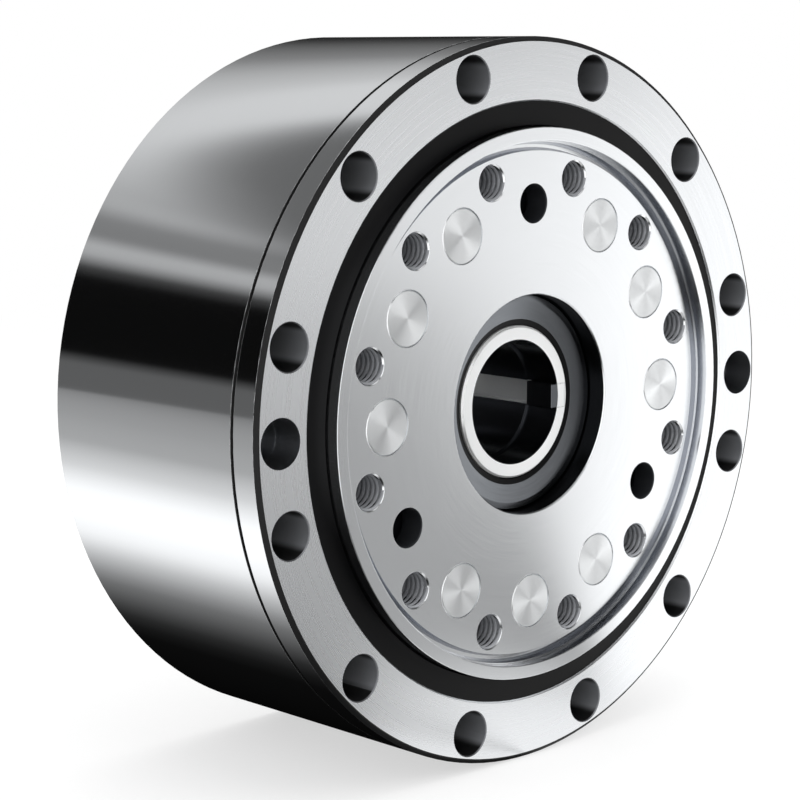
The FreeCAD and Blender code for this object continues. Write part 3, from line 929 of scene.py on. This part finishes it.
@dataclass(frozen=True)
class Sector:
    """A slice of the tent round its middle, in degrees, with soft sides."""

    centre: float
    inner: float
    outer: float

    def lay(
        self,
        tree: bpy.types.NodeTree,
        angle: bpy.types.NodeSocket,
        level: bpy.types.NodeSocket,
        field_level: bpy.types.NodeSocket,
    ) -> bpy.types.NodeSocket:
        """Adds the nodes that put a field over the cloth's level inside the slice.

        Args:
            tree: The material's node tree.
            angle: The socket of the angle round the middle, in radians.
            level: The cloth's level outside the slice.
            field_level: The field's level.

        Returns:
            The level's socket with the field.
        """
        off = add_node(
            tree, "ShaderNodeMath", {"operation": "SUBTRACT"},
            {0: angle, 1: math.radians(self.centre)},
        )
        turn = add_node(tree, "ShaderNodeMath", {"operation": "COSINE"}, {0: off.outputs[0]})
        sides = Passage(math.cos(math.radians(self.outer)), math.cos(math.radians(self.inner)))
        return sides.blend(tree, turn.outputs[0], level, field_level)


@dataclass(frozen=True)
class Lamp:
    """A square soft lamp that looks at the origin: its side is in metres, its power in watts."""

    name: str
    place: tuple[float, float, float]
    side: float
    power: float


@dataclass
class Studio:
    """A pale floor, a white background, soft lamps, a tent for reflections and the camera.

    Only the polish of the reducer sees the tent. Its cloth has a back field, a front field,
    which the faces reflect, and a dark field round the camera.
    """

    eye: tuple[float, float, float] = (-0.33160, -0.30317, 0.06950)
    aim: tuple[float, float, float] = (-0.03668, 0.0, 0.00481)
    lens: float = 102.54
    sensor: float = 36.0
    clip_start: float = 0.01

    # The floor, and how its own light grows towards the background, by metres from the origin.
    floor_z: float = -0.0725
    floor_size: float = 40.0
    floor_lift: float = 0.6
    floor_reach: Passage = Passage(0.12, 0.8)

    # The tent: it stands a hair above the floor, its wall counts from a little inside its
    # radius, and the face that looks up more than this is the top, which is taken off.
    tent_radius: float = 1.2
    tent_height: float = 2.4
    tent_sides: int = 96
    tent_gap: float = 0.3 * MM
    wall_margin: float = 10 * MM
    top_normal: float = 0.5

    # Grey levels up the back wall, by height over distance: far left, far right and the change
    # between them by bearing.
    back_wall_left: Fade = Fade(0.0, 1.0, (
        (0.0, 0.12), (0.035, 0.12), (0.075, 0.004), (0.34, 0.004), (0.38, 0.05), (0.43, 0.44),
        (0.46, 0.48), (0.5, 0.22), (0.56, 0.24), (0.61, 0.46), (0.66, 0.48), (0.77, 0.72), (1.0, 0.72),
    ))
    back_wall_right: Fade = Fade(0.0, 1.0, (
        (0.0, 0.02), (0.2, 0.02), (0.29, 0.06), (0.41, 0.15), (0.53, 0.24), (0.65, 0.46), (0.75, 0.6),
        (0.8, 0.72), (1.0, 0.72),
    ))
    back_wall_turn: Passage = Passage(75.0, 110.0)
    # A dark cloth that hangs over the top of the back wall, by height with its slant. The slant
    # is per degree of bearing, from where the cloth hangs at its own height.
    top_cloth: Fade = Fade(0.8, 1.0, (
        (0.8, 1.0), (0.87, 1.0), (0.9, 0.85), (0.93, 0.55), (0.96, 0.35), (1.0, 0.2),
    ))
    cloth_slant: float = 0.0085
    cloth_bearing: float = 85.0
    # Grey levels of the table behind the case, by metres beside the origin. The levels close beside
    # the origin go near-black as a painted shadow of the case, and those further out fall as a
    # painted fall-off of the light.
    back_table: Fade = Fade(0.0, 1.2, (
        (0.0, 0.0), (0.05, 0.004), (0.058, 0.03), (0.064, 0.1), (0.072, 0.2), (0.083, 0.55),
        (0.096, 1.08), (0.112, 1.25), (0.134, 1.2), (0.167, 0.76), (0.223, 0.44), (0.342, 0.37),
        (0.815, 0.22), (1.2, 0.16),
    ))
    # A soft panel behind the case, which its rear face reflects.
    rear_panel: Card = Card(level=0.75, edges=(
        (Measure.BEARING, 60.0, 72.0), (Measure.BEARING, 110.0, 100.0),
        (Measure.AWAY, 0.12, 0.2), (Measure.SLOPE, 0.52, 0.42),
    ))

    # The front field: grey levels of its table and of its wall, by degrees round a point a
    # little beside the origin, and the change between them by metres from the origin.
    front_sector: Sector = Sector(centre=-43.0, inner=40.0, outer=55.0)
    front_centre: float = 0.025
    front_table: Fade = Fade(-90.0, -10.0, (
        (-90.0, 0.42), (-74.0, 0.42), (-61.0, 0.38), (-54.0, 0.33), (-48.5, 0.38), (-46.8, 0.46),
        (-45.5, 0.66), (-44.3, 0.95), (-43.0, 1.2), (-39.5, 1.5), (-37.5, 1.6), (-35.0, 1.4), (-10.0, 1.4),
    ))
    front_wall: Fade = Fade(-90.0, -10.0, (
        (-90.0, 0.75), (-56.0, 0.75), (-51.0, 0.9), (-46.0, 1.05), (-42.0, 1.15), (-39.0, 1.35),
        (-36.0, 1.45), (-10.0, 1.45),
    ))
    front_foot: Passage = Passage(0.8, 1.25)
    # How the front wall's levels fall off, by height over distance.
    front_height: Fade = Fade(0.0, 1.0, ((0.0, 1.0), (0.05, 1.0), (0.14, 0.15), (0.3, 0.07), (1.0, 0.07)))
    # The table right under the case, and how far it reaches in the front and the dark field.
    near_level: float = 1.05
    near_table: Passage = Passage(0.028, 0.09)
    near_dark: Passage = Passage(0.025, 0.06)

    # The dark field round the camera, with a long low card beside it, which the wall of the
    # raised rim reflects.
    camera_sector: Sector = Sector(centre=-137.0, inner=25.0, outer=38.0)
    dark: float = 0.015
    side_card: Card = Card(level=1.45, edges=(
        (Measure.BEARING, -180.0, -170.0), (Measure.BEARING, -78.0, -92.0),
        (Measure.AWAY, 0.12, 0.18), (Measure.SLOPE, 1.1, 0.85),
    ))
    # Where the cloth fades into the white air above it, by height over distance.
    top_fade: Passage = Passage(1.2, 1.9)

    lamps: tuple[Lamp, ...] = (
        Lamp("top_softbox", (0.1, 0.0, 1.5), side=1.6, power=12.0),
        Lamp("front_softbox", (0.6, -1.2, 0.9), side=1.0, power=6.0),
    )

    def set_camera(self) -> None:
        """Puts the camera where the photograph was taken from."""
        data = bpy.data.cameras.new("camera")
        data.sensor_fit = "HORIZONTAL"
        data.sensor_width = self.sensor
        data.lens = self.lens
        data.clip_start = self.clip_start
        camera = bpy.data.objects.new("camera", data)
        bpy.context.scene.collection.objects.link(camera)
        camera.location = self.eye
        look = Vector(self.aim) - Vector(self.eye)
        camera.rotation_euler = look.to_track_quat("-Z", "Y").to_euler()
        bpy.context.scene.camera = camera

    def set_world(self) -> None:
        """Makes the air round the reducer white."""
        world = bpy.data.worlds.new("studio_air")
        bpy.context.scene.world = world
        world.use_nodes = True
        tree = world.node_tree
        tree.nodes.clear()
        air = add_node(
            tree, "ShaderNodeBackground", None,
            {"Color": linear("FFFFFF"), "Strength": 1.0},
        )
        add_node(tree, "ShaderNodeOutputWorld", None, {"Surface": air.outputs[0]})

    def lay_floor(self) -> None:
        """Lays the pale floor, which turns into the white background further off."""
        Tool.clear()
        bpy.ops.mesh.primitive_plane_add(size=self.floor_size, location=(0, 0, self.floor_z))
        floor = bpy.context.object
        floor.name = "studio_floor"
        bpy.ops.object.transform_apply(location=True, rotation=True, scale=True)
        material = empty_material("pale_floor")
        tree = material.node_tree
        matt = add_node(tree, "ShaderNodeBsdfDiffuse", None, {"Color": linear("F8F8F8")})
        path = add_node(tree, "ShaderNodeLightPath")
        glow = add_node(
            tree, "ShaderNodeEmission", None,
            {"Color": linear("FFFFFF"), "Strength": path.outputs["Is Camera Ray"]},
        )
        place = add_node(tree, "ShaderNodeTexCoord")
        away = add_node(
            tree, "ShaderNodeVectorMath", {"operation": "LENGTH"},
            {0: place.outputs["Object"]},
        )
        share = self.floor_reach.blend(tree, away.outputs["Value"], self.floor_lift, 1.0)
        lift = add_node(
            tree, "ShaderNodeMixShader", None,
            {0: share, 1: matt.outputs[0], 2: glow.outputs[0]},
        )
        add_node(tree, "ShaderNodeOutputMaterial", None, {"Surface": lift.outputs[0]})
        floor.data.materials.append(material)

    def cloth(self, tree: bpy.types.NodeTree) -> Cloth:
        """Adds the nodes that tell the places on the tent's cloth apart.

        Args:
            tree: The cloth's node tree.

        Returns:
            The sockets of the place.
        """
        place = add_node(tree, "ShaderNodeTexCoord")
        split = add_node(tree, "ShaderNodeSeparateXYZ", None, {0: place.outputs["Object"]})
        x, y, z = split.outputs
        flat = add_node(tree, "ShaderNodeCombineXYZ", None, {0: x, 1: y})
        away = add_node(tree, "ShaderNodeVectorMath", {"operation": "LENGTH"}, {0: flat.outputs[0]})
        slope = add_node(tree, "ShaderNodeMath", {"operation": "DIVIDE"}, {0: z, 1: self.tent_radius})
        angle = add_node(tree, "ShaderNodeMath", {"operation": "ARCTAN2"}, {0: y, 1: x})
        bearing = add_node(tree, "ShaderNodeMath", {"operation": "DEGREES"}, {0: angle.outputs[0]})
        on_wall = add_node(
            tree, "ShaderNodeMath", {"operation": "GREATER_THAN"},
            {0: away.outputs["Value"], 1: self.tent_radius - self.wall_margin},
        )
        return Cloth(x, y, on_wall.outputs[0], {
            Measure.ANGLE: angle.outputs[0],
            Measure.BEARING: bearing.outputs[0],
            Measure.AWAY: away.outputs["Value"],
            Measure.SLOPE: slope.outputs[0],
        })

    def back_field(self, tree: bpy.types.NodeTree, cloth: Cloth) -> bpy.types.NodeSocket:
        """Adds the nodes of the back field.

        Args:
            tree: The cloth's node tree.
            cloth: The sockets of the place.

        Returns:
            The socket of its level.
        """
        bearing, slope = cloth.measures[Measure.BEARING], cloth.measures[Measure.SLOPE]
        wall = self.back_wall_turn.blend(
            tree, bearing, self.back_wall_right.grey(tree, slope), self.back_wall_left.grey(tree, slope),
        )
        slant = add_node(
            tree, "ShaderNodeMath", {"operation": "MULTIPLY_ADD"},
            {0: bearing, 1: self.cloth_slant, 2: -self.cloth_slant * self.cloth_bearing},
        )
        slanted = add_node(tree, "ShaderNodeMath", {"operation": "ADD"}, {0: slope, 1: slant.outputs[0]})
        hung = add_node(
            tree, "ShaderNodeMath", {"operation": "MULTIPLY"},
            {0: wall, 1: self.top_cloth.grey(tree, slanted.outputs[0])},
        )
        beside = add_node(tree, "ShaderNodeMath", {"operation": "ABSOLUTE"}, {0: cloth.x})
        table = self.back_table.grey(tree, beside.outputs[0])
        back = add_node(tree, "ShaderNodeMix", None, {0: cloth.on_wall, 2: table, 3: hung.outputs[0]})
        return self.rear_panel.lay(tree, cloth.measures, back.outputs[0])

    def front_field(self, tree: bpy.types.NodeTree, cloth: Cloth) -> bpy.types.NodeSocket:
        """Adds the nodes of the front field.

        Args:
            tree: The cloth's node tree.
            cloth: The sockets of the place.

        Returns:
            The socket of its level.
        """
        away = cloth.measures[Measure.AWAY]
        shifted = add_node(
            tree, "ShaderNodeMath", {"operation": "SUBTRACT"},
            {0: cloth.x, 1: self.front_centre},
        )
        turned = add_node(
            tree, "ShaderNodeMath", {"operation": "ARCTAN2"},
            {0: cloth.y, 1: shifted.outputs[0]},
        )
        degrees = add_node(tree, "ShaderNodeMath", {"operation": "DEGREES"}, {0: turned.outputs[0]})
        table = self.front_table.grey(tree, degrees.outputs[0])
        wall = self.front_wall.grey(tree, degrees.outputs[0])
        level = self.front_foot.blend(tree, away, table, wall)
        height = self.front_height.grey(tree, cloth.measures[Measure.SLOPE])
        fall = add_node(tree, "ShaderNodeMix", None, {0: cloth.on_wall, 2: 1.0, 3: height})
        fallen = add_node(tree, "ShaderNodeMath", {"operation": "MULTIPLY"}, {0: level, 1: fall.outputs[0]})
        return self.near_table.blend(tree, away, self.near_level, fallen.outputs[0])

    def tent_cloth(self) -> bpy.types.Material:
        """Makes the cloth of the tent, with its dark and bright fields.

        Returns:
            The material.
        """
        material = empty_material("studio_tent_cloth")
        tree = material.node_tree
        cloth = self.cloth(tree)
        angle, away = cloth.measures[Measure.ANGLE], cloth.measures[Measure.AWAY]
        unlit = self.near_dark.blend(tree, away, self.near_level, self.dark)
        unlit = self.side_card.lay(tree, cloth.measures, unlit)
        level = self.back_field(tree, cloth)
        level = self.front_sector.lay(tree, angle, level, self.front_field(tree, cloth))
        level = self.camera_sector.lay(tree, angle, level, unlit)
        level = self.top_fade.blend(tree, cloth.measures[Measure.SLOPE], level, 1.0)
        glow = add_node(tree, "ShaderNodeEmission", None, {"Color": linear("FFFFFF"), "Strength": level})
        add_node(tree, "ShaderNodeOutputMaterial", None, {"Surface": glow.outputs[0]})
        return material

    def stand_tent(self) -> None:
        """Stands the tent, open at the top, where nothing but reflections sees it."""
        Tool.clear()
        bpy.ops.mesh.primitive_cylinder_add(
            vertices=self.tent_sides, radius=self.tent_radius, depth=self.tent_height,
            end_fill_type="NGON",
            location=(0, 0, self.tent_height / 2 + self.floor_z + self.tent_gap),
        )
        tent = bpy.context.object
        tent.name = "studio_tent"
        bpy.ops.object.transform_apply(location=True, rotation=True, scale=True)
        bpy.ops.object.mode_set(mode="EDIT")
        bpy.ops.mesh.select_mode(type="FACE")
        bpy.ops.mesh.select_all(action="DESELECT")
        bpy.ops.object.mode_set(mode="OBJECT")
        for face in tent.data.polygons:
            face.select = face.normal.z > self.top_normal
        bpy.ops.object.mode_set(mode="EDIT")
        bpy.ops.mesh.delete(type="ONLY_FACE")
        bpy.ops.mesh.select_mode(type="VERT")
        bpy.ops.object.mode_set(mode="OBJECT")
        tent.data.materials.append(self.tent_cloth())
        tent.visible_camera = False
        tent.visible_diffuse = False
        tent.visible_shadow = False
        tent.visible_transmission = False

    def hang_lamps(self) -> None:
        """Hangs the soft lamps, which no surface mirrors."""
        for lamp in self.lamps:
            data = bpy.data.lights.new(lamp.name, "AREA")
            data.shape = "SQUARE"
            data.size = lamp.side
            data.energy = lamp.power
            light = bpy.data.objects.new(lamp.name, data)
            bpy.context.scene.collection.objects.link(light)
            light.location = lamp.place
            light.rotation_euler = (-Vector(lamp.place)).to_track_quat("-Z", "Y").to_euler()
            light.visible_glossy = False

    def build(self) -> None:
        """Builds the whole studio."""
        bpy.context.scene.view_settings.view_transform = "Standard"
        self.set_camera()
        self.set_world()
        self.lay_floor()
        self.stand_tent()
        self.hang_lamps()
        LOG.info("studio: camera, air, floor, tent and %d lamps", len(self.lamps))


def main() -> None:
    """Builds the looks, sub-assembly by sub-assembly."""
    logging.basicConfig(level=logging.INFO, format="%(name)s: %(message)s")
    Studio().build()
    CadFinishes().dress(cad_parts)
    TappedThreads().build()


if __name__ == "__main__":
    main()
